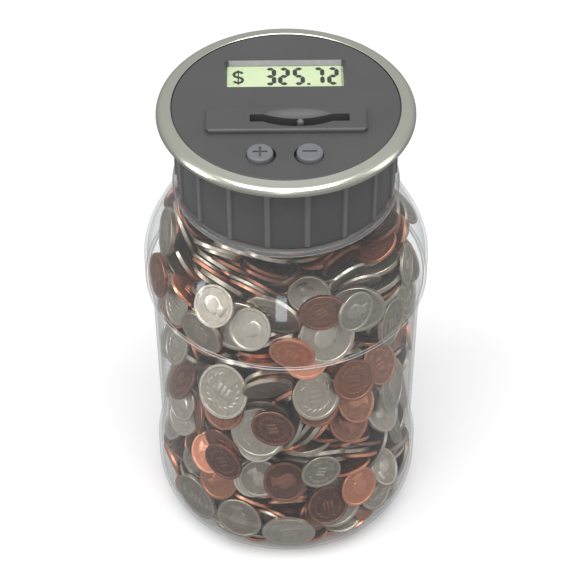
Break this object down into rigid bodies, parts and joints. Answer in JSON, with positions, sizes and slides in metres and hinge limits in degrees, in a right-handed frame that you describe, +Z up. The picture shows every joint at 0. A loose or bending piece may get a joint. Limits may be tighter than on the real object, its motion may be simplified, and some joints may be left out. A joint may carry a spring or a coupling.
{
  "type": "digital coin counting jar",
  "caption": "Clear screw-top jar of loose change whose lid measures each coin dropped through its slot and shows the total on a display.",
  "frame": {"origin": "centre of the jar's base, on the surface it stands on", "axes": "+Z up along the jar's axis; +Y towards the back, so the coin slot and the buttons are at -Y and the display at +Y; +X to the right of a person facing the display"},
  "size_m": [0.1204, 0.1204, 0.2224],
  "materials": {
    "clear_jar": "clear blow-moulded plastic, glossy",
    "coins": "mixed worn coins",
    "champagne_trim": "satin metallised plastic",
    "lid_plastic": "satin moulded, dark grey",
    "clear_lens": "clear moulded lens",
    "display_glass": "pale green display glass",
    "rubber_strip": "matt",
    "board": "green solder mask",
    "black_plastic": "matt",
    "bare_metal": "nickel plated",
    "button_plastic": "satin moulded, bluish grey",
    "inner_plastic": "moulded, dark grey",
    "arm_plastic": "natural moulded",
    "brass_contact": "bright",
    "battery_jacket": "plain printed jacket",
    "red_insulation": "soft insulation",
    "black_insulation": "soft insulation"
  },
  "bodies": {
    "jar": {"jar": "clear_jar", "coin_heap": "coins"},
    "bezel_ring": {"bezel_ring": "champagne_trim"},
    "lid": {"lid_shell": "lid_plastic", "top_plate": "lid_plastic", "lcd_window": "clear_lens", "lcd_panel": "display_glass", "lcd_connectors": "rubber_strip", "circuit_board": "board", "board_chip": "black_plastic", "board_parts": "bare_metal", "board_screws": "bare_metal", "tact_switches": "black_plastic", "coin_chute": "inner_plastic", "arm_pivot_pin": "bare_metal", "arm_spring": "bare_metal", "inner_cover": "inner_plastic", "cover_screws": "bare_metal", "battery_1": "battery_jacket", "battery_2": "battery_jacket", "battery_contacts": "bare_metal", "battery_springs": "bare_metal", "red_wire": "red_insulation", "black_wire": "black_insulation"},
    "plus_button": {"plus_button": "button_plastic"},
    "minus_button": {"minus_button": "button_plastic"},
    "coin_arm": {"coin_arm": "arm_plastic", "arm_wiper": "brass_contact"},
    "battery_door": {"battery_door": "inner_plastic", "door_screw": "bare_metal"}
  },
  "joints": [
    {"name": "lid_rise", "type": "slide", "parent": "jar", "child": "bezel_ring", "axis": [0, 0, 1], "range_m": [0, 0.03201]},
    {"name": "lid_turn", "type": "hinge", "parent": "bezel_ring", "child": "lid", "pos_m": [0, 0, 0.2], "axis": [0, 0, 1], "range_deg": [0, 720]},
    {"name": "plus_press", "type": "slide", "parent": "lid", "child": "plus_button", "axis": [0, 0, -1], "range_m": [0, 0.0007], "stiffness_N_per_m": 2000},
    {"name": "minus_press", "type": "slide", "parent": "lid", "child": "minus_button", "axis": [0, 0, -1], "range_m": [0, 0.0007], "stiffness_N_per_m": 2000},
    {"name": "coin_arm_swing", "type": "hinge", "parent": "lid", "child": "coin_arm", "pos_m": [-0.0016, 0.0135, 0.208], "axis": [0, 0, -1], "range_deg": [0, 33], "stiffness_Nm_per_rad": 0.002},
    {"name": "battery_door_drop", "type": "slide", "parent": "lid", "child": "battery_door", "axis": [0, 0, -1], "range_m": [0, 0.012]}
  ],
  "couplings": [
    {"joint": "lid_rise", "follows": "lid_turn", "m_per_rad": 0.0025465}
  ]
}
